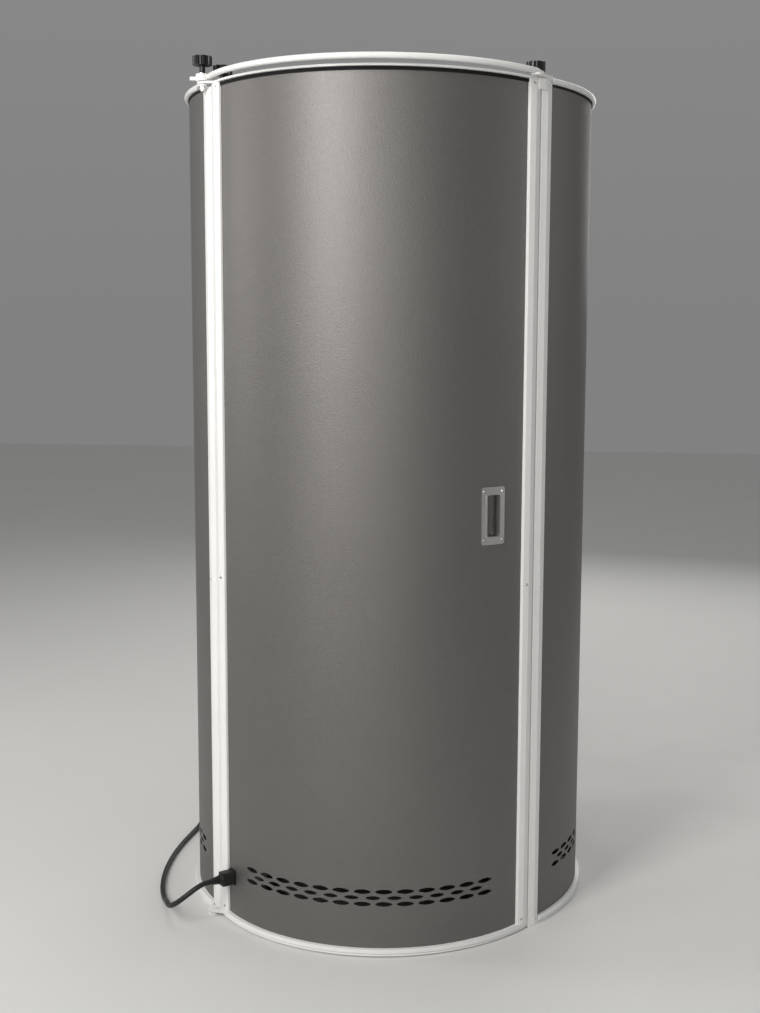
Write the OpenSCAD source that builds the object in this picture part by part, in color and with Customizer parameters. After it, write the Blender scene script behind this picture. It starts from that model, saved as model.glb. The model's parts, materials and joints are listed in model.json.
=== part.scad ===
// Stand-up tanning cabin: two fixed side sections and a curved front door that hangs on a pivot,
// with upright lamps all round, a demountable tie bar over the door and a lead to the door.
// Angles are seen from above, from the front of the cabin towards its right side.

/* [Shell] */
// Outer radius of the side skins
skin_r = 522; // [510:1:560]
// Thickness of the skin sheet
skin_t = 1.5; // [1:0.1:2.5]
// Height of the top edge of the skins
skin_top = 2073; // [2000:1:2200]
// Distance from the side skins inwards to the free space inside the guards
chamber = 130; // [118:1:150]
// Half of the angle that the door spans
door_half = 48.5; // [46:0.5:52]
// Gap between posts that face each other
seam = 3; // [2.6:0.1:6]
// Gap between pieces that are seated on each other round a curve
fit = 0.3; // [0.2:0.05:0.6]

/* [Door curve] */
// How far the middle of the door stands out past the side skins' circle
door_bulge = 28; // [20:1:36]
// How far the door skin lies inside that circle at the joints
door_inset = 4.6; // [3:0.1:6]
// How far the door's rails stand out past its skin
rail_over = 10; // [6:0.5:14]
// Thickness of the door's top rail
rail_t = 5; // [3:0.5:8]
// Width of the door's top rail
rail_w = 34; // [28:1:44]
// Height of the dark strip between the door skin and its top rail
door_strip_h = 8; // [8:0.5:16]
// Free height under the door
floor_gap = 3; // [2:0.5:6]

/* [Base and rings] */
// Thickness of the base plates
plate_t = 5; // [4:0.5:8]
// Height of the bottom rims
rim_h = 20; // [16:1:30]
// How far the bottom rims stand out past the side skins
rim_over = 11.5; // [8:0.5:16]
// Radial thickness of the bottom rims
rim_t = 16; // [12:1:22]
// Height of the groove between a base plate and its rim
groove_h = 2; // [1:0.5:3]
// Diameter of the top ring tube
tube_d = 14; // [12:0.5:18]
// Height of the dark strip between a side skin and its top ring
side_strip_h = 5; // [4:0.5:10]
// How far the dark strips stand out past the skins
strip_over = 2; // [0.5:0.5:4]

/* [Posts] */
// Width of a post's face
post_w = 37; // [30:1:44]
// Depth of a post's face bar
post_d = 12; // [8:1:16]
// How far the post's edges stand out past the side skins
post_over = 6; // [4:0.5:9]
// Height of the ridge down the middle of a post's face
ridge_h = 3; // [1:0.5:3]
// Thickness of the web behind a post
web_t = 2; // [1.5:0.5:3]
// Width of the lip that a skin rests against
lip_w = 5; // [3:0.5:6]
// Thickness of that lip
lip_t = 3; // [2:0.5:4]

/* [Inside] */
// Gap between the guards and the lamps
lamp_gap = 7; // [4:1:10]
// Diameter of a lamp
lamp_d = 38; // [26:1:40]
// Height of the decks over the ballasts, which carry the lower lampholders
deck_top = 260; // [235:1:420]
// Angle between lamps in the door
door_lamp_step = 14.5; // [12:0.5:15]
// Angle between lamps in the side sections
side_lamp_step = 14.2; // [12:0.1:14.5]
// Height of a lampholder
holder_h = 24; // [18:1:30]
// Gap between the lamps and the reflectors behind them
mirror_gap = 6; // [4:1:10]
// Thickness of the reflectors
mirror_t = 1; // [0.8:0.1:2]
// Thickness of the clear guards
guard_t = 3; // [2:0.5:4]
// Thickness of the sheet of the decks over the ballasts
deck_t = 2; // [1.5:0.5:3]
// Thickness of the top plates
top_t = 3; // [2:0.5:5]
// Size of a cooling fan
fan_size = 92; // [80:1:96]
// Height of a cooling fan
fan_h = 25; // [20:1:38]

/* [Vents] */
// Length of the slots in the outer rows
slot_w = 40; // [30:1:44]
// Height of the slots in the outer rows
slot_h = 12; // [8:0.5:14]
// Length of the slots in the middle row
short_slot_w = 34; // [26:1:40]
// Height of the slots in the middle row
short_slot_h = 10; // [7:0.5:12]
// Distance between slots along a row
slot_pitch = 52.2; // [48:0.1:56]
// Distance between rows
row_pitch = 15.5; // [14:0.5:20]
// Height of the middle row
vent_z = 146; // [130:1:180]
// Number of slots in an outer row of the door
door_slots = 13; // [9:2:13]
// Number of slots in an outer row of a side section
side_slots = 19; // [13:2:19]

/* [Handle] */
// Width of the handle plate
handle_w = 68; // [62:1:80]
// Height of the handle plate
handle_h = 138; // [126:1:160]
// Width of the finger recess
recess_w = 37; // [30:1:44]
// Height of the finger recess
recess_h = 100; // [80:1:110]
// Depth of the finger recess
recess_d = 20; // [12:1:24]
// Height of the handle's middle above the floor
handle_z = 1063; // [900:1:1200]
// Distance round the skin from the door's latch post to the handle's middle
handle_inset = 95; // [70:1:140]

/* [Pivot and knobs] */
// How far the pivot stands out past the side skins
pivot_over = 20; // [18:0.5:26]
// Diameter of the pivot bolt and of the knobs' studs
bolt_d = 10; // [8:0.5:12]
// Diameter of the lower pivot pin
pin_d = 12; // [8:0.5:14]
// Radial running clearance of the pivots
running = 0.05; // [0.02:0.01:0.08]
// Thickness of the pivot lugs and of the tie bar's end plates
lug_t = 4.5; // [3:0.5:5]
// Radius of the pivot lugs' round ends
lug_r = 13; // [11:0.5:15]
// Distance inwards from the side skins to the clamp knobs
clamp_in = 46; // [38:1:52]
// Distance from the joint line to the clamp knobs
clamp_side = 37.3; // [32:0.1:44]
// Diameter of the knobs
knob_d = 47; // [44:1:56]
// Height of a knob's grip
grip_h = 21; // [16:1:34]
// Diameter of a knob's neck
neck_d = 14; // [13:1:30]
// Height of a knob's neck
neck_h = 19; // [8:1:26]

/* [Tie bar] */
// How far the middle of the tie bar stands out past the side skins' circle
bar_bulge = 68.5; // [58:0.5:80]
// Gap between the door's rail and the tie bar's end plates
bar_gap = 1.5; // [1:0.1:3]
// Width of the tie bar's end plates
bar_plate_w = 26; // [22:1:30]

/* [Sockets and lead] */
// Height of the door's socket
door_socket_z = 118; // [110:1:130]
// Distance round the skin from the door's hinge post to the socket's middle
socket_inset = 18; // [18:0.5:30]
// Angle of the left section's socket round the cabin
side_socket_angle = -122; // [-128:0.5:-118]
// Angle of the right section's supply inlet round the cabin
supply_angle = 158; // [140:1:165]
// Height of a side section's socket below its lowest vents
socket_drop = 34; // [30:1:40]
// Diameter of the lead
lead_d = 13; // [10:0.5:14]

/* [Hidden] */
$fn = 96;

CHARCOAL = [0.24, 0.235, 0.23];
WHITE = [0.93, 0.93, 0.92];
BLACK = [0.06, 0.06, 0.06];
STEEL = [0.7, 0.7, 0.7];
MIRROR = [0.85, 0.86, 0.88];
LAMP = [0.95, 0.96, 1];
CLEAR = [0.8, 0.9, 0.95, 0.35];

// A length past every outline, for cutters
big = 1500;
REAR = 180;
front_edge = seam / 2;
rear_edge = 0;
side_middle = (door_half + REAR) / 2;

// The circle centre behind a curve that passes the front at one distance and an angle at another
function curve_centre(front, side, angle) = (front ^ 2 - side ^ 2) / (2 * (front - side * cos(angle)));

// The angle at a radius that lies a given distance past a joint line
function past(distance, radius) = asin(distance / radius);

// The point at a radius and an angle round the cabin
function spot(radius, angle) = [radius * sin(angle), -radius * cos(angle)];

// The point at a distance past the left joint line and a radius, on the side section's side
function left_spot(side, radius) = spot(radius, -door_half - past(side, radius));

door_c = curve_centre(skin_r + door_bulge, skin_r - door_inset, door_half);
door_r = skin_r + door_bulge - door_c;
door_back = door_c * cos(door_half);
door_aside = door_c * sin(door_half);

// The angle on the door's own curve that lies a distance from the joint line
function door_angle(distance) = door_half + asin((door_aside - distance) / door_r);

inner_r = skin_r - chamber;
rim_r = skin_r + rim_over;
rail_r = door_r + rail_over;
skin_end = post_w + 1;
door_skin_angle = door_angle(front_edge + skin_end);
handle_angle = door_skin_angle - handle_inset / door_r * 180 / PI;
door_socket_angle = socket_inset / door_r * 180 / PI - door_skin_angle;
post_r = skin_r + post_over;
post_back = post_r - post_d;
lip_end = front_edge + post_w + lip_w;
side_lip = sqrt((skin_r - skin_t) ^ 2 - lip_end ^ 2) - fit;
door_lip = door_back + sqrt((door_r - skin_t) ^ 2 - (front_edge + skin_end - door_aside) ^ 2) - fit;
side_plate_r = min(post_back - fit, norm([front_edge + post_w, side_lip - lip_t - fit]));
door_plate_r = min(norm([front_edge + post_w - door_aside, post_back - fit - door_back]),
                   norm([lip_end - door_aside, door_lip - lip_t - fit - door_back]));

door_strip_top = skin_top + door_strip_h;
rail_top = door_strip_top + rail_t;
side_strip_top = skin_top + side_strip_h;
ring_z = side_strip_top + tube_d / 2;
ring_r = rim_r - tube_d / 2;
pivot_gap = 1;
side_lug_z = door_strip_top - pivot_gap - lug_t;
bar_plate_z = rail_top + bar_gap;
bar_plate_top = bar_plate_z + lug_t;
bar_z = bar_plate_z + tube_d / 2 + 2;
washer_t = 2;
knob_z = bar_plate_top + washer_t;
eye_top = bar_z + tube_d / 2;
eye_r = 16;
pivot_knob_z = eye_top + washer_t;
top_plate_z = skin_top - top_t;
lamp_l = top_plate_z - deck_top - 2 * holder_h;
deck_z = deck_top - deck_t;
door_floor = floor_gap + plate_t;
pin_top = door_floor + lug_t + 4;

bar_end_r = skin_r + pivot_over + 4;
bar_end_angle = door_half - 5.5;
bar_c = curve_centre(skin_r + bar_bulge, bar_end_r, bar_end_angle);
bar_r = skin_r + bar_bulge - bar_c;
axis_y = (skin_r + bar_bulge + tube_d / 2 - rim_r) / 2;

pivot_side = lug_r + 1.2;
pivot = left_spot(pivot_side, skin_r + pivot_over);
clamp_r = skin_r - clamp_in;
clamp_angle = door_half + past(clamp_side, clamp_r);
lamp_ring_r = inner_r + guard_t + lamp_gap + lamp_d / 2;
mirror_r = lamp_ring_r + lamp_d / 2 + mirror_gap;
chamber_r = (inner_r + skin_r) / 2;
panel_edge = web_t + fit;

// Places a child that is drawn at the front of the cabin at an angle round it
module around(angle) { rotate([0, 0, angle]) children(); }

// Moves the cabin's axis to its place beside the frame's origin, the middle of the whole outline
module stand() { translate([0, axis_y, 0]) children(); }

// Moves a child to the centre of the door's own curve
module door_centre() { translate([0, -door_c, 0]) children(); }

// Mirrors a right-hand piece to the left side
module left_hand() { mirror([1, 0, 0]) children(); }

// Moves a child to the pivot's axis
module at_pivot() { translate(pivot) children(); }

// Places a child, drawn at the front, beside a joint line on its right (1) or left (-1) side
module beside(angle, side) { around(angle) scale([side, 1, 1]) children(); }

// Turns a profile (radius, height) about the cabin's axis between two angles
module turn(from, to) { rotate([0, 0, from - 90]) rotate_extrude(angle = to - from) children(); }

// Turns a profile over a side section, a distance from both joint lines at a radius
module side_turn(edge, radius) {
    turn(door_half + past(front_edge + edge, radius), REAR - past(rear_edge + edge, radius)) children();
}

// Turns a profile over the door about the cabin's axis, a distance from both joint lines
module door_turn(edge, radius) {
    reach = door_half - past(front_edge + edge, radius);
    turn(-reach, reach) children();
}

// A strip from one radius to another and from one height to another
module band(r0, r1, z0, z1) { translate([r0, z0]) square([r1 - r0, z1 - z0]); }

// A bar from one height to another over a flat outline
module prism(z0, z1) { translate([0, 0, z0]) linear_extrude(z1 - z0) children(); }

// The door in plan from the free space to its own curve, a distance from both joint lines
module door_plate(outer, edge) {
    tip = -(front_edge + edge) / sin(door_half);
    side = big * sin(door_half);
    front = tip - big * cos(door_half);
    difference() {
        intersection() {
            door_centre() circle(outer);
            polygon([[0, tip], [-side, front], [-side, front - big], [side, front - big], [side, front]]);
        }
        circle(inner_r);
    }
}

// A strip along the door's own curve
module door_arc(r0, r1, edge) {
    difference() {
        door_plate(r1, edge);
        door_centre() circle(r0);
    }
}

// A flat strip with round ends between two points, its straight sides just inside the ends
module link(p, q, width) {
    run = q - p;
    straight = width - 0.5;
    translate(p) circle(d = width);
    translate(q) circle(d = width);
    translate(p) rotate(atan2(run[1], run[0])) translate([0, -straight / 2]) square([norm(run), straight]);
}

// An oval slot: long sides that are arcs, between round ends
module slot(width, height) {
    arc_w = 1.2 * width;
    arc_r = (arc_w ^ 2 + height ^ 2) / (4 * height);
    intersection() {
        union() {
            square([width - height, height], center = true);
            for (side = [-1, 1]) translate([side * (width - height) / 2, 0]) circle(d = height);
        }
        translate([0, arc_r - height / 2]) circle(arc_r);
        translate([0, height / 2 - arc_r]) circle(arc_r);
    }
}

module round_rect(width, height, radius) {
    square([width - 2 * radius, height], center = true);
    square([width, height - 2 * radius], center = true);
    for (x = [-1, 1], y = [-1, 1])
        translate([x * (width / 2 - radius), y * (height / 2 - radius)]) circle(radius);
}

// Stands a flat outline up at the front, from one radius out to another
module facing(r0, r1, height) {
    translate([0, -r0, height]) rotate([90, 0, 0]) linear_extrude(r1 - r0) children();
}

// Bends an outline at the front to a curve, between two radii
module curved(r0, r1, height) {
    intersection() {
        facing(r0 - 20, r1 + 1, height) children();
        translate([0, 0, height - big / 2]) difference() {
            cylinder(r = r1, h = big);
            translate([0, 0, -1]) cylinder(r = r0, h = big + 2);
        }
    }
}

// Cutters for three rows of slots, the middle row half a step on
module vent_cutters(radius, middle, count) {
    step = slot_pitch / radius * 180 / PI;
    for (i = [0 : count - 1], row = [-1, 1])
        around(middle + (i - (count - 1) / 2) * step)
            facing(radius - 20, radius + 20, vent_z + row * row_pitch) slot(slot_w, slot_h);
    for (i = [0 : count - 2])
        around(middle + (i - (count - 2) / 2) * step)
            facing(radius - 20, radius + 20, vent_z) slot(short_slot_w, short_slot_h);
}

screw_r = 2;
head_r = 3.5;
head_t = 2.2;
screw_l = 9;
screw_across = post_w * 0.68;
ridge_slope = atan(ridge_h / (post_w / 2 - 2));
facet_r = post_r + ridge_h - (screw_across - post_w / 2) * tan(ridge_slope);

// A pan-head screw with a cross recess, driven inwards from its seat, along the front's line
module pan_screw(length) {
    cross_w = 0.8;
    cross_l = 3.4;
    cross_depth = 1.2;
    difference() {
        rotate([90, 0, 0]) cylinder(r1 = head_r, r2 = head_r * 0.75, h = head_t);
        for (arm = [0, 90])
            rotate([0, arm, 0]) translate([-cross_l / 2, -head_t - 1, -cross_w / 2])
                cube([cross_l, cross_depth + 1, cross_w]);
    }
    rotate([-90, 0, 0]) cylinder(r = screw_r, h = length);
}

module screw_hole() {
    rotate([-90, 0, 0]) translate([0, 0, -1]) cylinder(r = screw_r + 0.1, h = screw_l + 2);
}

// Runs a child at each screw place of a post, on the half of its face away from the joint
module screw_places(edge, low, high) {
    for (z = [low + 12, low + (high - low) * 0.42, high - 8])
        translate([edge + screw_across, -facet_r, z]) rotate([0, 0, ridge_slope]) children();
}

// A post beside its joint line: web, channel with a ridge on its face, and the skin's lip
module post(edge, low, high, lip) {
    far = edge + post_w;
    near = edge + web_t;
    wall = 3;
    difference() {
        union() {
            prism(low, high)
                polygon([[edge, -inner_r], [edge, 2 - post_r], [edge + 2, -post_r],
                         [edge + post_w / 2, -post_r - ridge_h], [far - 2, -post_r], [far, 2 - post_r],
                         [far, -post_back], [near, -post_back], [near, -inner_r]]);
            prism(rim_h, skin_top) translate([far - 1, -lip]) square([lip_w + 1, lip_t]);
        }
        prism(low + wall, high - wall)
            polygon([[edge + wall, 1 - post_back], [edge + wall, wall - post_r],
                     [edge + post_w / 2, wall - post_r - ridge_h], [far - wall, wall - post_r],
                     [far - wall, 1 - post_back]]);
        screw_places(edge, low, high) screw_hole();
    }
}

module side_front_post(high) { beside(door_half, 1) post(front_edge, plate_t, high, side_lip); }

module side_rear_post() {
    difference() {
        beside(REAR, -1) post(rear_edge, plate_t, side_strip_top, side_lip);
        rear_bolt_places() rotate([0, 90, 0]) cylinder(r = 3.2, h = 40, center = true);
    }
}

module door_post(side) { beside(side * door_half, -side) post(front_edge, rim_h, door_strip_top, door_lip); }

module rear_bolt_places() {
    for (share = [0.2, 0.6, 0.95])
        around(REAR) translate([0, -(mirror_r + post_back) / 2, share * skin_top]) children();
}

// Bolt and nut through both rear webs
module rear_bolt() {
    grip = rear_edge + web_t;
    rotate([0, 90, 0]) cylinder(r = 3, h = 2 * grip + 14, center = true);
    translate([grip, 0, 0]) rotate([0, 90, 0]) cylinder(r = 5, h = 4);
    translate([-grip, 0, 0]) rotate([0, -90, 0]) cylinder(r = 5.5, h = 5, $fn = 6);
}

door_lamp_count = 6;
side_lamp_count = 9;
lamp_wall = 1;

// Runs a child for each lamp place round a middle angle
module lamp_places(middle, count, step) {
    for (i = [0 : count - 1]) around(middle + (i - (count - 1) / 2) * step) children();
}

module door_places() { lamp_places(0, door_lamp_count, door_lamp_step) children(); }

module side_places(side) { lamp_places(side * side_middle, side_lamp_count, side_lamp_step) children(); }

// A lamp's glass tube with its end caps, between its holders
module lamp() {
    cap_h = 16;
    tube_r = lamp_d / 2 - 0.75;
    translate([0, -lamp_ring_r, deck_top + holder_h]) difference() {
        union() {
            cylinder(r = tube_r, h = lamp_l);
            for (z = [0, lamp_l - cap_h]) translate([0, 0, z]) cylinder(d = lamp_d, h = cap_h);
        }
        translate([0, 0, -1]) cylinder(r = tube_r - lamp_wall, h = lamp_l + 2);
    }
}

module lampholder_pair() {
    holder_w = 30;
    for (z = [deck_top, top_plate_z - holder_h])
        translate([-holder_w / 2, -lamp_ring_r - holder_w / 2, z]) cube([holder_w, holder_w + 4, holder_h]);
}

// A ballast with its feet, core and winding
module ballast(low) {
    core_w = 52;
    core_l = 84;
    foot = 10;
    foot_t = 3;
    core_h = 46;
    translate([0, -chamber_r, low]) {
        translate([-core_w / 2, -core_l / 2 - foot, 0]) cube([core_w, core_l + 2 * foot, foot_t]);
        translate([-core_w / 2, -core_l / 2, 0]) cube([core_w, core_l, foot_t + core_h]);
        translate([8 - core_w / 2, 8 - core_l / 2, 0]) cube([core_w - 16, core_l - 16, foot_t + core_h + 8]);
    }
}

fan_bore = fan_size - 6;
fan_hub_r = 17;
fan_spindle_r = 2;
fan_floor = 4;

// Fan frame with spokes and spindle, hung under a deck
module fan_frame() {
    translate([0, -chamber_r, deck_z - fan_h]) {
        difference() {
            linear_extrude(fan_h) round_rect(fan_size, fan_size, 5);
            translate([0, 0, -1]) cylinder(d = fan_bore, h = fan_h + 2);
        }
        cylinder(r = fan_hub_r, h = fan_floor);
        cylinder(r = fan_spindle_r, h = fan_h - 6);
        for (spoke = [45 : 90 : 315])
            rotate(spoke) translate([0, -2, 0]) cube([fan_bore / 2 + 2, 4, fan_floor]);
    }
}

// Hub with slanted blades, running on the frame's spindle
module fan_rotor() {
    blades = 7;
    blade_w = 18;
    hub_h = fan_h - fan_floor - 3;
    translate([0, -chamber_r, deck_z - fan_h + fan_floor + 0.5]) difference() {
        union() {
            cylinder(r = fan_hub_r, h = hub_h);
            for (i = [0 : blades - 1])
                rotate(i * 360 / blades) translate([fan_hub_r - 2, 0, hub_h / 2]) rotate([38, 0, 0])
                    translate([0, -blade_w / 2, -0.8]) cube([fan_bore / 2 - fan_hub_r - 0.5, blade_w, 1.6]);
        }
        translate([0, 0, -1]) cylinder(r = fan_spindle_r + running, h = fan_h - fan_floor - 4);
    }
}

flange_w = 31;
flange_h = 40;
flange_t = 3;
nose_w = 22;
nose_h = 28;
nose_l = 16;
shroud_t = 2.5;
shroud_l = 24;

// An appliance socket in a skin: flange, shroud and the cavity for a connector's nose
module socket(radius, height) {
    difference() {
        union() {
            facing(radius, radius + flange_t, height) round_rect(flange_w, flange_h, 4);
            facing(radius - shroud_l, radius + 1, height)
                round_rect(nose_w + 2 * shroud_t, nose_h + 2 * shroud_t, 3);
        }
        facing(radius + flange_t - nose_l - 1, radius + flange_t + 1, height) round_rect(nose_w, nose_h, 3);
    }
}

module socket_cutter(radius, height) {
    facing(radius - 20, radius + 20, height)
        round_rect(nose_w + 2 * shroud_t + 0.6, nose_h + 2 * shroud_t + 0.6, 3.3);
}

body_l = 30;
relief_l = 28;

// A connector in its socket: nose, body and ribbed strain relief
module plug(radius, height) {
    seat = radius + flange_t;
    facing(seat - nose_l, seat + 1, height) round_rect(nose_w - 2 * fit, nose_h - 2 * fit, 2.7);
    facing(seat + fit, seat + body_l, height) round_rect(30, 35, 7);
    translate([0, -seat - body_l, height]) rotate([90, 0, 0]) {
        cylinder(d1 = 27, d2 = lead_d + 9, h = 8);
        for (i = [0 : 2]) translate([0, 0, 9.5 + i * 5.5]) cylinder(d = lead_d + 7.6 - i * 1.4, h = 3.2);
        cylinder(d1 = lead_d + 5, d2 = lead_d + 1.5, h = relief_l);
    }
}

// The distance of a point past the tip of a plug's strain relief
function plug_tip(radius, out) = radius + flange_t + body_l + relief_l + out;

// A fluted knob on its neck, with its foot at height zero
module knob() {
    flutes = 8;
    flute_r = 6.5;
    cylinder(d = neck_d, h = neck_h + 1);
    prism(neck_h, neck_h + grip_h) difference() {
        circle(d = knob_d);
        for (i = [0 : flutes - 1])
            rotate(i * 360 / flutes) translate([knob_d / 2 + flute_r / 2, 0]) circle(flute_r);
    }
    translate([0, 0, neck_h + grip_h]) cylinder(d1 = knob_d - 10, d2 = knob_d - 18, h = 1.5);
}

knob_bore = 22;

// A knob on its own stud, which runs down through an end plate into a top plate's boss
module clamp_knob() {
    translate([0, 0, knob_z]) knob();
    translate([0, 0, bar_plate_top]) cylinder(d = neck_d, h = washer_t);
    translate([0, 0, top_plate_z]) cylinder(d = bolt_d, h = knob_z - top_plate_z);
}

module side_skin() {
    difference() {
        side_turn(skin_end, skin_r) band(skin_r - skin_t, skin_r, rim_h, skin_top);
        vent_cutters(skin_r, side_middle, side_slots);
    }
}

// The ring runs from the front post over the rear post to the rear joint
module side_ring() {
    from = door_half + past(front_edge + post_w + fit, rim_r - tube_d);
    turn(from, REAR - past(rear_edge, ring_r)) translate([ring_r, ring_z]) circle(d = tube_d);
}

module side_strip() {
    side_turn(post_w + fit, side_plate_r)
        band(side_plate_r - 4, skin_r + strip_over, skin_top, side_strip_top);
}

module side_top_plate() {
    boss_r = bolt_d / 2 + 7;
    difference() {
        union() {
            side_turn(panel_edge, inner_r) band(inner_r, side_plate_r, top_plate_z, skin_top);
            translate(spot(clamp_r, clamp_angle)) translate([0, 0, top_plate_z])
                cylinder(r = boss_r, h = bar_plate_z - top_plate_z);
        }
        translate(spot(clamp_r, clamp_angle)) translate([0, 0, top_plate_z - 1])
            cylinder(r = bolt_d / 2 + running, h = big);
    }
}

module side_base() {
    bevel = 1.5;
    rim_z = plate_t + groove_h;
    side_turn(0, inner_r) band(inner_r, rim_r - 2, 0, plate_t);
    side_turn(post_w + fit, rim_r - rim_t)
        polygon([[rim_r - rim_t, 0], [rim_r - 6, 0], [rim_r - 6, rim_z], [rim_r - bevel, rim_z],
                 [rim_r, rim_z + bevel], [rim_r, rim_h - bevel], [rim_r - bevel, rim_h],
                 [rim_r - rim_t, rim_h]]);
}

module side_reflector() {
    side_turn(panel_edge, mirror_r) band(mirror_r, mirror_r + mirror_t, deck_top, top_plate_z);
}

module side_guard() {
    side_turn(panel_edge, inner_r) band(inner_r, inner_r + guard_t, deck_top, top_plate_z);
}

// Inner wall and deck over the ballasts, with the fan's opening
module side_deck() {
    difference() {
        side_turn(panel_edge, inner_r) {
            band(inner_r, inner_r + deck_t, plate_t, deck_top);
            band(inner_r, side_plate_r, deck_z, deck_top);
        }
        around(side_middle) translate([0, -chamber_r, deck_z - 1]) cylinder(d = fan_bore, h = deck_t + 2);
    }
}

module door_skin() {
    color(CHARCOAL) stand() difference() {
        prism(rim_h, skin_top) door_arc(door_r - skin_t, door_r, skin_end);
        door_centre() {
            vent_cutters(door_r, 0, door_slots);
            around(handle_angle) facing(door_r - 20, door_r + 20, handle_z)
                round_rect(recess_w + 5, recess_h + 5, 7);
            around(door_socket_angle) socket_cutter(door_r, door_socket_z);
        }
    }
}

module door_hinge_post() { color(WHITE) stand() door_post(-1); }

// The latch post also carries the stop plate that laps over the joint
module door_latch_post() {
    stop_h = 26;
    stop_w = 24;
    stop_t = 2;
    lap = 11;
    seat_w = 9;
    color(WHITE) stand() {
        door_post(1);
        around(door_half) translate([lap - stop_w, -post_r - ridge_h, rail_top - stop_h]) {
            translate([0, -stop_t, 0]) cube([stop_w, stop_t, stop_h]);
            translate([0, -1, 0]) cube([seat_w, ridge_h + 3, stop_h - rail_t - fit]);
        }
    }
}

door_lug_root = spot(post_back - 22, 6 - door_half);

// The door's pivot lug in plan
module door_lug(clearance) { link(pivot, door_lug_root, 2 * (lug_r + clearance)); }

module door_top_rail() {
    color(WHITE) stand() difference() {
        union() {
            prism(door_strip_top, rail_top) door_arc(rail_r - rail_w, rail_r, 0);
            prism(door_strip_top, rail_top) door_lug(0);
        }
        at_pivot() cylinder(d = bolt_d + 2 * running, h = 2 * big);
    }
}

module door_bottom_rail() {
    color(WHITE) stand() difference() {
        union() {
            prism(floor_gap, door_floor) door_plate(rail_r - 2, 0);
            prism(door_floor, door_floor + groove_h) door_arc(rail_r - rim_t, rail_r - 6, 0);
            prism(door_floor + groove_h, rim_h) door_arc(rail_r - rim_t, rail_r, 0);
            prism(door_floor, door_floor + lug_t) door_lug(0);
        }
        at_pivot() cylinder(d = pin_d + 2 * running, h = big);
    }
}

module door_strip() {
    color(BLACK) stand() prism(skin_top, door_strip_top)
        door_arc(door_plate_r - 4, door_r + strip_over, post_w + fit);
}

module door_top_plate() {
    color(BLACK) stand() prism(top_plate_z, skin_top) door_plate(door_plate_r, panel_edge);
}

module door_reflector() {
    color(MIRROR) stand() door_turn(panel_edge, mirror_r)
        band(mirror_r, mirror_r + mirror_t, deck_top, top_plate_z);
}

module door_lamps() { color(LAMP) stand() door_places() lamp(); }

module door_lampholders() { color(WHITE) stand() door_places() lampholder_pair(); }

module door_guard() {
    color(CLEAR) stand() door_turn(panel_edge, inner_r)
        band(inner_r, inner_r + guard_t, deck_top, top_plate_z);
}

module door_deck() {
    color(CHARCOAL) stand() {
        door_turn(panel_edge, inner_r) band(inner_r, inner_r + deck_t, door_floor, deck_top);
        prism(deck_z, deck_top) door_plate(door_plate_r, panel_edge);
    }
}

module door_ballasts() { color(STEEL) stand() door_places() ballast(door_floor); }

module door_inlet() {
    color(BLACK) stand() door_centre() around(door_socket_angle) socket(door_r, door_socket_z);
}

handle_lift = 2;
handle_r = door_r + fit + handle_lift;

// Runs a child at the four screws of the handle
module handle_screw_places() {
    side = asin((handle_w / 2 - 7) / handle_r);
    door_centre() for (x = [-1, 1], z = [-1, 1])
        around(handle_angle + x * side)
            translate([0, -handle_r, handle_z + z * (handle_h / 2 - 11)]) children();
}

module door_handle() {
    wall = 1.5;
    bead = 3.5;
    color(STEEL) stand() difference() {
        door_centre() around(handle_angle) difference() {
            union() {
                curved(door_r + fit, handle_r, handle_z) round_rect(handle_w, handle_h, 6);
                curved(handle_r - 0.5, handle_r + 1.5, handle_z)
                    round_rect(recess_w + 2 * bead, recess_h + 2 * bead, 8);
                facing(handle_r - recess_d, handle_r - 1, handle_z)
                    round_rect(recess_w + 2 * wall, recess_h + 2 * wall, 6.5);
            }
            facing(handle_r - recess_d + wall, handle_r + 9, handle_z) round_rect(recess_w, recess_h, 5);
        }
        handle_screw_places() screw_hole();
    }
}

// Screws of the door's posts and of its handle
module door_screws() {
    color(STEEL) stand() {
        for (side = [-1, 1])
            beside(side * door_half, -side)
                screw_places(front_edge, rim_h, door_strip_top) pan_screw(screw_l);
        handle_screw_places() pan_screw(handle_lift + fit);
    }
}

catch_heights = [420, 1650];
catch_w = 18;
catch_h = 40;
catch_t = 0.8;
catch_r = (mirror_r + post_back) / 2 - 8;

module door_catch_plates() {
    color(STEEL) stand() around(door_half) for (z = catch_heights)
        translate([-front_edge, -catch_r - catch_w / 2 - 5, z - catch_h / 2 - 5])
            cube([catch_t, catch_w + 10, catch_h + 10]);
}

module catch_magnets() {
    color(BLACK) stand() around(door_half) for (z = catch_heights)
        translate([catch_t + 0.5 - front_edge, -catch_r - catch_w / 2, z - catch_h / 2])
            cube([14, catch_w, catch_h]);
}

module door_plug() {
    color(BLACK) stand() door_centre() around(door_socket_angle) plug(door_r, door_socket_z);
}

side_socket_z = vent_z - row_pitch - slot_h / 2 - socket_drop;

module left_skin() {
    color(CHARCOAL) stand() difference() {
        left_hand() side_skin();
        around(side_socket_angle) socket_cutter(skin_r, side_socket_z);
    }
}

// The left front post ends under the upper lug and clears the door's lower lug
module left_front_post() {
    color(WHITE) stand() difference() {
        left_hand() side_front_post(side_lug_z);
        prism(0, door_floor + lug_t + 1.5) door_lug(1.5);
    }
}

module left_rear_post() { color(WHITE) stand() left_hand() side_rear_post(); }

ring_lug_root = left_spot(front_edge + post_w + lug_r, ring_r);

// The upper pivot lug with a stub that joins it to the left ring's tube
module ring_lug(clearance) {
    prism(side_lug_z - clearance, side_lug_z + lug_t + clearance)
        link(pivot, ring_lug_root, 2 * (lug_r - 1 + clearance));
    translate(ring_lug_root) translate([0, 0, side_lug_z])
        cylinder(r = 5 + clearance, h = ring_z - side_lug_z);
}

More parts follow.
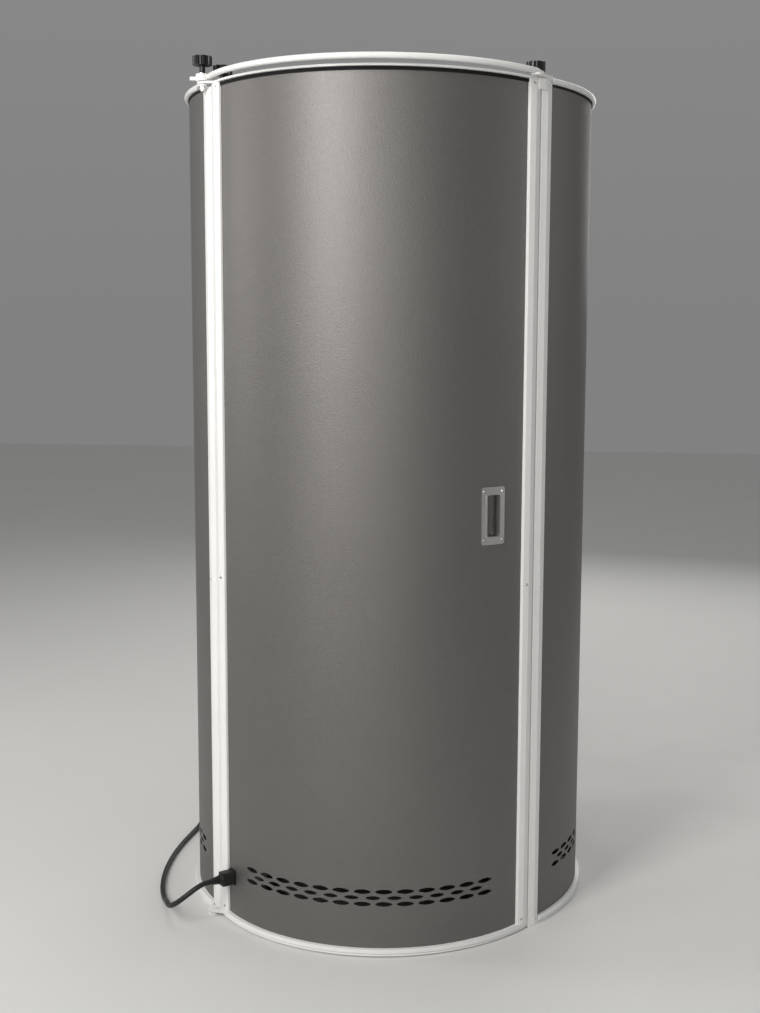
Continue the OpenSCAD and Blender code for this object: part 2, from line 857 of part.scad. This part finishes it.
module left_ring() {
    color(WHITE) stand() difference() {
        union() {
            left_hand() side_ring();
            ring_lug(0);
        }
        at_pivot() cylinder(d = bolt_d + 2 * running, h = 2 * big);
    }
}

// The left strip has a notch round the pivot lug
module left_strip() {
    color(BLACK) stand() difference() {
        left_hand() side_strip();
        ring_lug(fit);
    }
}

module left_top_plate() { color(BLACK) stand() left_hand() side_top_plate(); }

// The left base also carries the lower pivot pin with its collar
module left_base() {
    color(WHITE) stand() {
        left_hand() side_base();
        prism(0, plate_t) link(pivot, left_spot(post_w + 5, post_back - 10), 2 * lug_r);
        at_pivot() cylinder(d = pin_d, h = pin_top);
        at_pivot() cylinder(d = pin_d + 6, h = door_floor - fit);
    }
}

module left_reflector() { color(MIRROR) stand() left_hand() side_reflector(); }

module left_lamps() { color(LAMP) stand() side_places(-1) lamp(); }

module left_lampholders() { color(WHITE) stand() side_places(-1) lampholder_pair(); }

module left_guard() { color(CLEAR) stand() left_hand() side_guard(); }

module left_deck() { color(CHARCOAL) stand() left_hand() side_deck(); }

module left_ballasts() { color(STEEL) stand() side_places(-1) ballast(plate_t); }

module left_fan_frame() { color(BLACK) stand() around(-side_middle) fan_frame(); }

module left_fan_rotor() { color(BLACK) stand() around(-side_middle) fan_rotor(); }

module left_outlet() { color(BLACK) stand() around(side_socket_angle) socket(skin_r, side_socket_z); }

module left_plug() { color(BLACK) stand() around(side_socket_angle) plug(skin_r, side_socket_z); }

module right_skin() {
    color(CHARCOAL) stand() difference() {
        side_skin();
        around(supply_angle) socket_cutter(skin_r, side_socket_z);
    }
}

// The right front post reaches up to the tie bar and has windows for the magnets
module right_front_post() {
    color(WHITE) stand() difference() {
        side_front_post(bar_plate_z);
        around(door_half) for (z = catch_heights)
            translate([0, -catch_r - catch_w / 2 - fit, z - catch_h / 2 - fit])
                cube([front_edge + web_t + 1, catch_w + 2 * fit, catch_h + 2 * fit]);
    }
}

module right_rear_post() { color(WHITE) stand() side_rear_post(); }

module right_ring() { color(WHITE) stand() side_ring(); }

module right_strip() { color(BLACK) stand() side_strip(); }

module right_top_plate() { color(BLACK) stand() side_top_plate(); }

module right_base() { color(WHITE) stand() side_base(); }

module right_reflector() { color(MIRROR) stand() side_reflector(); }

module right_lamps() { color(LAMP) stand() side_places(1) lamp(); }

module right_lampholders() { color(WHITE) stand() side_places(1) lampholder_pair(); }

module right_guard() { color(CLEAR) stand() side_guard(); }

module right_deck() { color(CHARCOAL) stand() side_deck(); }

module right_ballasts() { color(STEEL) stand() side_places(1) ballast(plate_t); }

module right_fan_frame() { color(BLACK) stand() around(side_middle) fan_frame(); }

module right_fan_rotor() { color(BLACK) stand() around(side_middle) fan_rotor(); }

module supply_inlet() { color(BLACK) stand() around(supply_angle) socket(skin_r, side_socket_z); }

// Screws of the side sections' posts and the bolts that join their rear posts
module side_screws() {
    color(STEEL) stand() {
        beside(door_half, 1) screw_places(front_edge, plate_t, bar_plate_z) pan_screw(screw_l);
        beside(-door_half, -1) screw_places(front_edge, plate_t, side_lug_z) pan_screw(screw_l);
        for (side = [-1, 1])
            beside(REAR, side) screw_places(rear_edge, plate_t, side_strip_top) pan_screw(screw_l);
        rear_bolt_places() rear_bolt();
    }
}

// Angles round the tie bar's own curve: beside the pivot, and where its right end tapers off
bar_left = -atan2(-pivot[0], -pivot[1] - bar_c);
bar_right = bar_end_angle + 14;

// The tie bar: tube, thick eye with a tongue at the pivot, plates under the clamp knobs
module tie_bar() {
    right_end = [bar_r * sin(bar_right), -bar_c - bar_r * cos(bar_right)];
    right_seat = spot(ring_r, door_half + past(front_edge + post_w / 2, ring_r));
    tongue = [-24, -2];
    tongue_w = 13;
    tongue_t = 8;
    taper_l = 26;
    left_clamp = spot(clamp_r, -clamp_angle);
    right_clamp = spot(clamp_r, clamp_angle);
    color(WHITE) stand() difference() {
        union() {
            translate([0, -bar_c, 0]) {
                turn(bar_left, bar_right) translate([bar_r, bar_z]) circle(d = tube_d);
                around(bar_right) translate([-0.5, -bar_r, bar_z]) rotate([0, 90, 0])
                    cylinder(d1 = tube_d - 0.4, d2 = lug_t + 1, h = taper_l);
            }
            prism(bar_plate_z, eye_top) translate(pivot) circle(eye_r);
            prism(bar_plate_z + 2, bar_plate_z + 2 + tongue_t) link(pivot, pivot + tongue, tongue_w);
            prism(bar_plate_z, bar_plate_top) {
                link(pivot, left_clamp, bar_plate_w);
                link(right_end, right_seat, bar_plate_w);
                link(right_seat, right_clamp, bar_plate_w);
            }
        }
        for (place = [pivot, left_clamp, right_clamp])
            translate(place) cylinder(d = bolt_d + 0.8, h = 2 * big);
    }
}

// Pivot bolt with its nut, the thin washer between the lugs and the washer under the knob
module pivot_bolt() {
    nut_h = 6;
    tail = 5;
    low = side_lug_z - nut_h - tail;
    color(STEEL) stand() at_pivot() {
        translate([0, 0, low]) cylinder(d = bolt_d, h = pivot_knob_z + knob_bore - 2 - low);
        translate([0, 0, side_lug_z - nut_h]) cylinder(r = 8, h = nut_h, $fn = 6);
        translate([0, 0, side_lug_z + lug_t]) cylinder(r = 9, h = pivot_gap - fit);
        translate([0, 0, eye_top]) cylinder(r = 12, h = washer_t);
    }
}

module pivot_knob() {
    color(BLACK) stand() at_pivot() translate([0, 0, pivot_knob_z]) difference() {
        knob();
        translate([0, 0, -1]) cylinder(d = bolt_d + 2 * running, h = knob_bore + 1);
    }
}

module left_knob() { color(BLACK) stand() translate(spot(clamp_r, -clamp_angle)) clamp_knob(); }

module right_knob() { color(BLACK) stand() translate(spot(clamp_r, clamp_angle)) clamp_knob(); }

// The lead leaves the door's plug, drops to the floor, lies round the left section and rises to its plug
lead_floor = lead_d / 2 + 0.3;
lead_middle = [[-428, -455, 114], [-452, -468, 96], [-480, -465, 73], [-502, -445, 55], [-518, -413, 49],
               [-530, -376, 38], [-542, -336, 19], [-560, -292, lead_floor], [-583, -234, lead_floor],
               [-604, -148, lead_floor], [-618, -35, lead_floor], [-619, 84, lead_floor],
               [-609, 190, lead_floor], [-602, 262, lead_floor], [-602, 295, 23], [-596, 314, 46],
               [-573, 332, 68], [-537, 332, 86]];
lead_straight = 9;
lead_sides = 10;
lead_steps = 3;

function door_tip(out) =
    concat(spot(plug_tip(door_r, out), door_socket_angle) - [0, door_c], door_socket_z);
function side_tip(out) = concat(spot(plug_tip(skin_r, out), side_socket_angle), side_socket_z);

// Four points in line at each end keep the lead's ends square to its plugs, a hair away from them
hair = 0.02;
lead_route = concat([for (k = [-1 : 2]) door_tip(k * lead_straight + hair)], lead_middle,
                    [for (k = [2 : -1 : -1]) side_tip(k * lead_straight + hair)]);

// The point of a smooth curve in span i of a route, at a share t of the span
function curve_point(route, i, t) =
    ((1 - t) ^ 3 * route[i] + (3 * t ^ 3 - 6 * t ^ 2 + 4) * route[i + 1]
     + (3 * t ^ 2 - 3 * t ^ 3 + 3 * t + 1) * route[i + 2] + t ^ 3 * route[i + 3]) / 6;

function curve_points(route, steps) = concat(
    [for (i = [0 : len(route) - 4], k = [0 : steps - 1]) curve_point(route, i, k / steps)],
    [curve_point(route, len(route) - 4, 1)]);

function unit(v) = v / norm(v);
function heading(points, i) = unit(points[min(i + 1, len(points) - 1)] - points[max(i - 1, 0)]);

function ring_points(centre, along, radius) =
    let (across = unit(cross([0, 0, 1], along)), over = cross(along, across))
    [for (k = [0 : lead_sides - 1])
        centre + radius * (cos(k * 360 / lead_sides) * across + sin(k * 360 / lead_sides) * over)];

// Sweeps a round tube along a list of points
module tube(points, radius) {
    last = len(points) - 1;
    skin = [for (i = [0 : last]) each ring_points(points[i], heading(points, i), radius)];
    walls = [for (i = [0 : last - 1], k = [0 : lead_sides - 1])
        let (a = i * lead_sides + k, b = i * lead_sides + (k + 1) % lead_sides)
        [a, a + lead_sides, b + lead_sides, b]];
    start = [for (k = [0 : lead_sides - 1]) k];
    end = [for (k = [lead_sides - 1 : -1 : 0]) last * lead_sides + k];
    polyhedron(skin, concat([start, end], walls));
}

module link_lead() { color(BLACK) stand() tube(curve_points(lead_route, lead_steps), lead_d / 2); }

door_skin();
door_hinge_post();
door_latch_post();
door_top_rail();
door_bottom_rail();
door_strip();
door_top_plate();
door_reflector();
door_lamps();
door_lampholders();
door_guard();
door_deck();
door_ballasts();
door_inlet();
door_handle();
door_screws();
door_catch_plates();
door_plug();
left_skin();
left_front_post();
left_rear_post();
left_ring();
left_strip();
left_top_plate();
left_base();
left_reflector();
left_lamps();
left_lampholders();
left_guard();
left_deck();
left_ballasts();
left_fan_frame();
left_fan_rotor();
left_outlet();
left_plug();
right_skin();
right_front_post();
right_rear_post();
right_ring();
right_strip();
right_top_plate();
right_base();
right_reflector();
right_lamps();
right_lampholders();
right_guard();
right_deck();
right_ballasts();
right_fan_frame();
right_fan_rotor();
supply_inlet();
catch_magnets();
side_screws();
tie_bar();
pivot_bolt();
pivot_knob();
left_knob();
right_knob();
link_lead();
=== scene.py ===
"""Looks of the stand-up tanning cabin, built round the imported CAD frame.

Lengths are in metres. The numbers of the door's curve and of the lead's route are in millimetres, as in the
part's source.
"""
import json
import math

import bmesh
import bpy
from mathutils import Euler, Matrix, Vector


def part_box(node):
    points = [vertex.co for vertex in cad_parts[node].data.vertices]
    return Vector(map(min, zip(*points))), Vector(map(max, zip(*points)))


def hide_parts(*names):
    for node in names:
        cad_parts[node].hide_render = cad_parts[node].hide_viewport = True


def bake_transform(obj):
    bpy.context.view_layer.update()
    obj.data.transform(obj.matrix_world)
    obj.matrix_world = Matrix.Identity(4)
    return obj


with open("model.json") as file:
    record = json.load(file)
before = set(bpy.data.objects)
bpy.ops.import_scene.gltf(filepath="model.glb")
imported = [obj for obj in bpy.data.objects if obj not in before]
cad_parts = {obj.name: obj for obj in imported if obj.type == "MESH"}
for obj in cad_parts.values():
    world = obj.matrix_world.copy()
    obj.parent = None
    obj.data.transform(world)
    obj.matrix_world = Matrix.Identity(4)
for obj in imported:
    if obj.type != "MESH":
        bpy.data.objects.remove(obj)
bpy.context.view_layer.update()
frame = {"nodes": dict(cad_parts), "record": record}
nodes = frame["nodes"]
scene = bpy.context.scene

# Camera at the photograph's viewpoint
camera_data = bpy.data.cameras.new("camera")
camera = bpy.data.objects.new("camera", camera_data)
scene.collection.objects.link(camera)
scene.camera = camera
camera_data.sensor_width = 36.0
camera_data.lens = 48.57
camera_data.shift_x = -0.03455
camera_data.clip_end = 60.0
PLACE = (0.41728, -3.63046, 1.49161)
PITCH, HEADING, ROLL = math.radians(82.78), math.radians(5.42), math.radians(0.35)
turned = Euler((PITCH, 0.0, HEADING)).to_matrix() @ Matrix.Rotation(ROLL, 3, "Z")
camera.matrix_world = Matrix.Translation(PLACE) @ turned.to_4x4()

# How far the cabin's axis stands behind the frame's origin
AXIS_Y = 0.032
# How far the centre of the door's curve stands in front of that axis, and the radius of the door's skin
DOOR_C, DOOR_R = 83.98623, 466.01377


def row(points):
    """Points in millimetres from the cabin's axis, as metres in the frame."""
    return [Vector((x / 1000, y / 1000 + AXIS_Y, z / 1000)) for x, y, z in points]


# Nearly all values of a noise lie in this range
NOISE_RANGE = (0.3, 0.7)
UNIT_RANGE = (0.0, 1.0)


def new_material(name):
    material = bpy.data.materials.new(name)
    material.use_nodes = True
    tree = material.node_tree
    shader = tree.nodes["Principled BSDF"]
    return material, tree, shader


def add(tree, kind, **values):
    """A node with its settings; a value for a socket is given by the socket's name."""
    made = tree.nodes.new(kind)
    for key, value in values.items():
        if hasattr(made, key):
            setattr(made, key, value)
        else:
            made.inputs[key.replace("_", " ")].default_value = value
    return made


def coordinates(tree):
    """The object's own coordinates, in metres."""
    return add(tree, "ShaderNodeTexCoord").outputs["Object"]


def noise(tree, coords, scale, detail=2.0, rough=0.5, stretch=None):
    """Noise with so many cells in a metre, drawn out along an axis where the stretch is below 1."""
    source = coords
    if stretch is not None:
        mapping = add(tree, "ShaderNodeMapping", Scale=stretch)
        tree.links.new(coords, mapping.inputs["Vector"])
        source = mapping.outputs["Vector"]
    made = add(tree, "ShaderNodeTexNoise", Scale=scale, Detail=detail, Roughness=rough)
    tree.links.new(source, made.inputs["Vector"])
    return made.outputs["Fac"]


def ramp(tree, value, low, high, at=NOISE_RANGE):
    """Colours between two ends over a value."""
    made = tree.nodes.new("ShaderNodeValToRGB")
    made.color_ramp.elements[0].position, made.color_ramp.elements[1].position = at
    made.color_ramp.elements[0].color = (*low, 1.0)
    made.color_ramp.elements[1].color = (*high, 1.0)
    tree.links.new(value, made.inputs["Fac"])
    return made.outputs["Color"]


def varied(tree, value, colour, vary):
    """A colour that goes up and down by a share of itself over a noise."""
    low, high = (tuple(c * factor for c in colour) for factor in (1 - vary, 1 + vary))
    return ramp(tree, value, low, high)


def spread(tree, value, low, high, at=NOISE_RANGE):
    """A value brought from the range that it has to another one, and held inside it."""
    made = add(tree, "ShaderNodeMapRange", From_Min=at[0], From_Max=at[1], To_Min=low, To_Max=high)
    tree.links.new(value, made.inputs["Value"])
    return made.outputs["Result"]


def mixed(tree, factor, first, second, blend="MIX"):
    """Two colours mixed; the factor and the colours are sockets or plain values."""
    made = add(tree, "ShaderNodeMix", data_type="RGBA", blend_type=blend)
    for name, value in (("Factor", factor), ("A", first), ("B", second)):
        if isinstance(value, bpy.types.NodeSocket):
            tree.links.new(value, made.inputs[name])
        else:
            made.inputs[name].default_value = value
    return made.outputs["Result"]


def reckoned(tree, operation, value, number=None):
    """A value put through one operation, with a number where the operation takes two."""
    made = add(tree, "ShaderNodeMath", operation=operation)
    tree.links.new(value, made.inputs[0])
    if number is not None:
        made.inputs[1].default_value = number
    return made.outputs[0]


def bump(tree, shader, heights):
    """Chains bumps, given as height source, distance in metres and strength."""
    last = None
    for source, distance, strength in heights:
        made = add(tree, "ShaderNodeBump", Distance=distance, Strength=strength)
        tree.links.new(source, made.inputs["Height"])
        if last is not None:
            tree.links.new(last, made.inputs["Normal"])
        last = made.outputs["Normal"]
    tree.links.new(last, shader.inputs["Normal"])


def plain(name, colour, rough, metallic=0.0, vary=0.06, patch=9.0, grain=900.0, grain_depth=0.00005,
          rough_vary=0.06, coat=0.0, stretch=None, specular=0.5):
    """A finish with soft patches of tone, a fine grain and uneven gloss."""
    material, tree, shader = new_material(name)
    at = coordinates(tree)
    tone = noise(tree, at, patch, detail=4.0, rough=0.55)
    fine = noise(tree, at, grain, stretch=stretch)
    wear = noise(tree, at, patch * 3, detail=3.0)
    tree.links.new(varied(tree, tone, colour, vary), shader.inputs["Base Color"])
    tree.links.new(spread(tree, wear, rough - rough_vary, rough + rough_vary), shader.inputs["Roughness"])
    shader.inputs["Metallic"].default_value = metallic
    shader.inputs["Coat Weight"].default_value = coat
    shader.inputs["Specular IOR Level"].default_value = specular
    bump(tree, shader, [(fine, grain_depth, 0.6)])
    return material


def skin_material():
    """Charcoal film with a pebbled grain, fine mottling, a touch of flake and faint waves of the sheet."""
    material, tree, shader = new_material("charcoal_film")
    at = coordinates(tree)
    patches = noise(tree, at, 2.0, detail=3.0, rough=0.6)
    mottle = noise(tree, at, 230.0, detail=3.0, rough=0.7)
    specks = noise(tree, at, 520.0, rough=0.65)
    waves = noise(tree, at, 3.0)
    pebble = add(tree, "ShaderNodeTexVoronoi", Scale=560.0, feature="SMOOTH_F1")
    tree.links.new(at, pebble.inputs["Vector"])
    base = ramp(tree, patches, (0.042, 0.0396, 0.0378), (0.051, 0.0482, 0.0459))
    for pattern, share in ((mottle, 0.18), (specks, 0.28)):
        base = mixed(tree, 1.0, base, varied(tree, pattern, (1.0, 1.0, 1.0), share), "MULTIPLY")
    tree.links.new(base, shader.inputs["Base Color"])
    tree.links.new(spread(tree, specks, 0.44, 0.57), shader.inputs["Roughness"])
    shader.inputs["Specular IOR Level"].default_value = 1.0
    shader.inputs["IOR"].default_value = 1.71
    shader.inputs["Specular Tint"].default_value = (1.0, 0.975, 0.95, 1.0)
    bump(tree, shader, [(waves, 0.004, 0.3), (mottle, 0.0006, 0.65),
                        (pebble.outputs["Distance"], 0.0004, 0.8), (specks, 0.0001, 0.6)])
    return material


def brushed(name, colour, rough, along, grain=260.0, contrast=0.11):
    """Metal with a fine brushing, stretched along one direction."""
    material, tree, shader = new_material(name)
    lines = noise(tree, coordinates(tree), grain, detail=3.0, rough=0.6, stretch=along)
    gloss = spread(tree, lines, rough - contrast / 2, rough + contrast / 2)
    tree.links.new(varied(tree, lines, colour, contrast), shader.inputs["Base Color"])
    tree.links.new(gloss, shader.inputs["Roughness"])
    shader.inputs["Metallic"].default_value = 1.0
    bump(tree, shader, [(lines, 0.00002, 0.5)])
    return material


# How far behind the door's skin the handle keeps its own colour, and from where on painted shade makes it
# dark
FACE_DEPTH, PAINTED_SHADE_DEPTH = 0.002, 0.021


def handle_steel(face, recess_shade):
    """Brushed steel on the handle's face, with painted shade that darkens it where it goes in past the
    door's skin.
    """
    material = brushed("brushed_steel_and_painted_shade", face, 0.34, (1.0, 1.0, 0.05), grain=900.0, contrast=0.05)
    tree = material.node_tree
    shader = tree.nodes["Principled BSDF"]
    bright = shader.inputs["Base Color"].links[0].from_socket
    flat = add(tree, "ShaderNodeVectorMath", operation="MULTIPLY_ADD")
    tree.links.new(coordinates(tree), flat.inputs[0])
    flat.inputs[1].default_value = (1.0, 1.0, 0.0)
    flat.inputs[2].default_value = (0.0, DOOR_C / 1000 - AXIS_Y, 0.0)
    reach = add(tree, "ShaderNodeVectorMath", operation="LENGTH")
    tree.links.new(flat.outputs["Vector"], reach.inputs[0])
    between = (DOOR_R / 1000 - PAINTED_SHADE_DEPTH, DOOR_R / 1000 - FACE_DEPTH)
    # Painted shade: past the door's skin the steel fades to the dark recess colour, darkest at the deepest
    # part.
    unshaded_share = spread(tree, reach.outputs["Value"], *UNIT_RANGE, at=between)
    tree.links.new(mixed(tree, unshaded_share, (*recess_shade, 1.0), bright), shader.inputs["Base Color"])
    return material


# The metal cap at each end of a lamp, and the band of deposit beside it
LAMP_CAP, LAMP_DEPOSIT = 0.016, 0.03


def lamp_material(low, high):
    """Frosted tube between two heights, with metal caps and a faint band of deposit beside them."""
    material, tree, shader = new_material("lamp_tube")
    at = coordinates(tree)
    split = add(tree, "ShaderNodeSeparateXYZ")
    tree.links.new(at, split.inputs["Vector"])
    away = reckoned(tree, "SUBTRACT", split.outputs["Z"], (low + high) / 2)
    height = reckoned(tree, "ABSOLUTE", away)
    cap_edge = (high - low) / 2 - LAMP_CAP
    metal = reckoned(tree, "GREATER_THAN", height, cap_edge)
    deposit = spread(tree, height, *UNIT_RANGE, at=(cap_edge - LAMP_DEPOSIT, cap_edge))
    glass = ramp(tree, deposit, (0.86, 0.88, 0.93), (0.55, 0.53, 0.52), at=UNIT_RANGE)
    tree.links.new(mixed(tree, metal, glass, (0.72, 0.72, 0.70, 1.0)), shader.inputs["Base Color"])
    tree.links.new(metal, shader.inputs["Metallic"])
    tree.links.new(spread(tree, noise(tree, at, 60.0), 0.2, 0.32), shader.inputs["Roughness"])
    return material


def guard_material():
    """Clear acrylic, seen mostly by its reflections."""
    material, tree, shader = new_material("clear_acrylic")
    at = coordinates(tree)
    tint = ramp(tree, noise(tree, at, 5.0), (0.86, 0.91, 0.94), (0.92, 0.96, 0.98))
    tree.links.new(tint, shader.inputs["Base Color"])
    tree.links.new(spread(tree, noise(tree, at, 14.0, detail=3.0), 0.03, 0.09), shader.inputs["Roughness"])
    shader.inputs["Alpha"].default_value = 0.14
    shader.inputs["IOR"].default_value = 1.49
    bump(tree, shader, [(noise(tree, at, 7.0), 0.001, 0.15)])
    return material


SKIN = skin_material()
WHITE = plain("white_powder_coat", (0.775, 0.775, 0.765), 0.34, vary=0.02, patch=4.0, grain=1100.0,
              grain_depth=0.00006, rough_vary=0.05)
# A near-black strip along the skins' top edges, under the rails.
STRIP = plain("near_black_top_strip", (0.009, 0.009, 0.009), 0.75, vary=0.15, grain=1400.0, specular=0.18)
BLACK_PAINT = plain("black_paint", (0.014, 0.014, 0.015), 0.55, vary=0.1, patch=6.0, grain=1200.0,
                    specular=0.3)
GREY_SHEET = plain("grey_sheet", (0.10, 0.10, 0.10), 0.5, vary=0.06, patch=5.0)
HOLDER = plain("lampholder_plastic", (0.80, 0.80, 0.77), 0.4, vary=0.03, patch=30.0, coat=0.1)
IRON = plain("ballast_iron", (0.16, 0.16, 0.17), 0.45, metallic=0.6, vary=0.12, patch=40.0, grain=700.0,
             grain_depth=0.0002, stretch=(1.0, 1.0, 9.0))
PLASTIC = plain("black_plastic", (0.009, 0.009, 0.010), 0.33, vary=0.15, patch=60.0, grain=2200.0,
                grain_depth=0.00004, specular=0.35)
RUBBER = plain("lead_rubber", (0.010, 0.010, 0.010), 0.5, vary=0.15, patch=50.0, grain=1800.0, specular=0.4)
REFLECTOR = brushed("bright_aluminium", (0.88, 0.89, 0.90), 0.16, (1.0, 1.0, 0.04))
# The second colour is the painted shade inside the handle's recess.
STEEL_AND_PAINTED_SHADE = handle_steel((0.64, 0.635, 0.625), (0.03, 0.03, 0.03))
ZINC = plain("zinc", (0.66, 0.66, 0.645), 0.28, metallic=1.0, vary=0.1, patch=300.0)
LAMP_LOW, LAMP_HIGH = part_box("door_lamps")[0].z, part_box("door_lamps")[1].z
LAMP = lamp_material(LAMP_LOW, LAMP_HIGH)
GUARD = guard_material()

LOOKS = {
    "charcoal_skin": SKIN, "white_profile": WHITE, "black_strip": STRIP, "black_plate": BLACK_PAINT,
    "grey_sheet": GREY_SHEET, "reflector": REFLECTOR, "lamp_glass": LAMP, "white_plastic": HOLDER,
    "clear_guard": GUARD, "ballast_iron": IRON, "black_plastic": PLASTIC, "lead_black": RUBBER,
    "handle_steel": STEEL_AND_PAINTED_SHADE, "bright_screws": ZINC, "magnet_black": PLASTIC,
}
SLOT_OF = {part["node"]: part["material_slot"] for part in frame["record"]["subparts"]}


def dress(piece, material):
    piece.data.materials.clear()
    piece.data.materials.append(material)


for name, piece in nodes.items():
    dress(piece, LOOKS[SLOT_OF[name]])

# How far a plug stands out from the skin: its flange, body and strain relief
TIP_REACH = 3 + 30 + 28
# The two sockets: the angle round the cabin from the front, and the height
DOOR_SOCKET, DOOR_SOCKET_Z = math.radians(-49.165375), 118
SIDE_SOCKET, SIDE_SOCKET_Z = math.radians(-122.0), 90.5
SIDE_R = 522.0
# The spacing of the four points in line at each end of the lead, and its gap to the plugs
STRAIGHT, HAIR = 9, 0.02
# The height of the lead's middle where it lies on the floor
LEAD_FLOOR = 6.8
LEAD_D = 0.013
LEAD_STEPS, LEAD_SIDES = 16, 16


def tip(radius, angle, height, back, out):
    """A point past the tip of a plug's strain relief."""
    reach = radius + TIP_REACH + out
    return (reach * math.sin(angle), -reach * math.cos(angle) - back, height)


DOOR_END = [tip(DOOR_R, DOOR_SOCKET, DOOR_SOCKET_Z, DOOR_C, k * STRAIGHT + HAIR) for k in (-1, 0, 1, 2)]
SIDE_END = [tip(SIDE_R, SIDE_SOCKET, SIDE_SOCKET_Z, 0, k * STRAIGHT + HAIR) for k in (2, 1, 0, -1)]
MIDDLE = [
    (-428, -455, 114), (-452, -468, 96), (-480, -465, 73), (-502, -445, 55), (-518, -413, 49),
    (-530, -376, 38), (-542, -336, 19), (-560, -292, LEAD_FLOOR), (-583, -234, LEAD_FLOOR),
    (-604, -148, LEAD_FLOOR), (-618, -35, LEAD_FLOOR), (-619, 84, LEAD_FLOOR),
    (-609, 190, LEAD_FLOOR), (-602, 262, LEAD_FLOOR), (-602, 295, 23), (-596, 314, 46),
    (-573, 332, 68), (-537, 332, 86),
]


def smooth_curve(route, steps):
    """Points of the smooth curve that the route's points steer."""
    points = []
    for i in range(len(route) - 3):
        a, b, c, d = route[i:i + 4]
        for k in range(steps):
            t = k / steps
            points.append(((1 - t) ** 3 * a + (3 * t ** 3 - 6 * t ** 2 + 4) * b
                           + (3 * t ** 2 - 3 * t ** 3 + 3 * t + 1) * c + t ** 3 * d) / 6)
    b, c, d = route[-3:]
    points.append((b + 4 * c + d) / 6)
    return points


def tube(name, points, radius, sides):
    """A closed round tube along points."""
    grid = bmesh.new()
    rings = []
    for i, centre in enumerate(points):
        along = (points[min(i + 1, len(points) - 1)] - points[max(i - 1, 0)]).normalized()
        across = Vector((0, 0, 1)).cross(along).normalized()
        over = along.cross(across)
        rings.append([grid.verts.new(centre + radius * (math.cos(a) * across + math.sin(a) * over))
                      for a in (k * math.tau / sides for k in range(sides))])
    for first, second in zip(rings, rings[1:]):
        for k in range(sides):
            after = (k + 1) % sides
            grid.faces.new((first[k], first[after], second[after], second[k]))
    grid.faces.new(reversed(rings[0]))
    grid.faces.new(rings[-1])
    for face in grid.faces:
        face.smooth = len(face.verts) == 4
    mesh = bpy.data.meshes.new(name)
    grid.to_mesh(mesh)
    grid.free()
    piece = bpy.data.objects.new(name, mesh)
    scene.collection.objects.link(piece)
    return piece


lead_line = smooth_curve(row(DOOR_END + MIDDLE + SIDE_END), LEAD_STEPS)
lead = tube("lead", lead_line, LEAD_D / 2, LEAD_SIDES)
dress(lead, RUBBER)
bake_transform(lead)
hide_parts("link_lead")

# Floor, light and background
FLOOR = 14.0
floor_mesh = bpy.data.meshes.new("floor")
floor_mesh.from_pydata([(-FLOOR, -FLOOR, 0), (FLOOR, -FLOOR, 0), (FLOOR, FLOOR, 0), (-FLOOR, FLOOR, 0)], [],
                       [(0, 1, 2, 3)])
floor = bpy.data.objects.new("floor", floor_mesh)
scene.collection.objects.link(floor)
floor_look = plain("studio_floor", (0.64, 0.64, 0.63), 0.7, vary=0.01, patch=1.5, grain=200.0)
dress(floor, floor_look)

LIGHT_COLOUR = (1.0, 0.98, 0.95)
# Each light's name, place, target, width and height, and power in watts
LIGHTS = [
    ("key", (-1.56, -3.32, 2.62), (-0.1, -0.4, 1.5), (1.0, 2.0), 103.0),
    ("fill", (0.55, -4.5, 2.1), (0.1, 0.0, 1.2), (1.2, 2.0), 24.0),
    ("top", (0.0, 0.3, 4.8), (0.0, 0.0, 1.0), (3.0, 3.0), 42.0),
    ("right", (4.2, 0.2, 2.2), (0.0, 0.0, 1.1), (1.0, 2.6), 13.0),
    ("left", (-4.3, -0.2, 2.2), (0.0, 0.0, 1.1), (1.0, 2.4), 40.0),
    ("back", (1.0, 4.6, 3.0), (0.0, 0.0, 1.2), (2.6, 2.6), 60.0),
]


def area_light(name, place, target, size, power):
    data = bpy.data.lights.new(name, "AREA")
    data.shape = "RECTANGLE"
    data.size, data.size_y = size
    data.energy = power
    data.color = LIGHT_COLOUR
    light = bpy.data.objects.new(name, data)
    scene.collection.objects.link(light)
    light.location = place
    light.rotation_euler = (Vector(target) - Vector(place)).to_track_quat("-Z", "Y").to_euler()


for light in LIGHTS:
    area_light(*light)


def world_light(level, above):
    """A soft dome, brighter overhead than at the horizon, where it meets the floor's far tone."""
    world = bpy.data.worlds.new("world")
    scene.world = world
    world.use_nodes = True
    tree = world.node_tree
    split = add(tree, "ShaderNodeSeparateXYZ")
    tree.links.new(add(tree, "ShaderNodeTexCoord").outputs["Generated"], split.inputs["Vector"])
    strength = spread(tree, split.outputs["Z"], level, above, at=UNIT_RANGE)
    tree.nodes["Background"].inputs["Color"].default_value = (1.0, 1.0, 1.0, 1.0)
    tree.links.new(strength, tree.nodes["Background"].inputs["Strength"])


world_light(level=0.22, above=0.33)
scene.view_settings.view_transform = "Standard"
